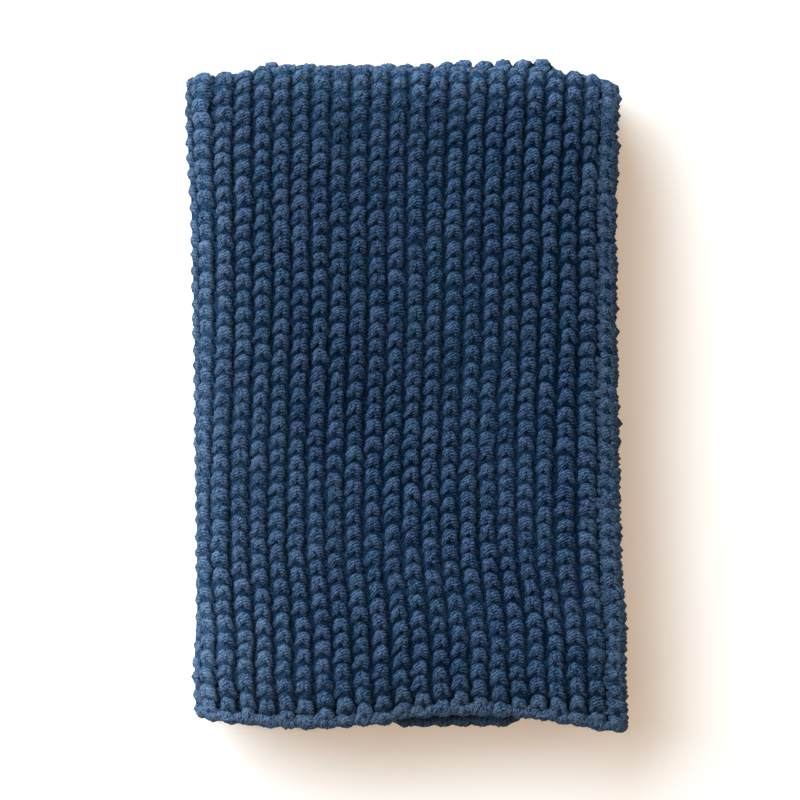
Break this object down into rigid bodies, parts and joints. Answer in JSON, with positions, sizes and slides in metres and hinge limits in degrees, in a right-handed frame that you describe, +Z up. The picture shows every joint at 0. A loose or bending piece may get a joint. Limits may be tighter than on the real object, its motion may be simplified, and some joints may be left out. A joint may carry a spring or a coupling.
{
  "type": "folded knitted dishcloth",
  "caption": "Square knitted cotton dishcloth with raised ribs, folded in half and then in thirds, lying flat as a soft oblong bundle.",
  "frame": {"origin": "centre of the folded cloth's box, on the surface that it lies on", "axes": "+Y along the folded length towards the half fold, +X across it towards the top third's free edge, +Z up out of the top face"},
  "size_m": [0.0856, 0.1304, 0.0198],
  "materials": {
    "knit_cotton": "matte plied cotton yarn, navy blue, slightly fuzzy"
  },
  "bodies": {
    "root": {"cloth": "knit_cotton"}
  },
  "joints": []
}
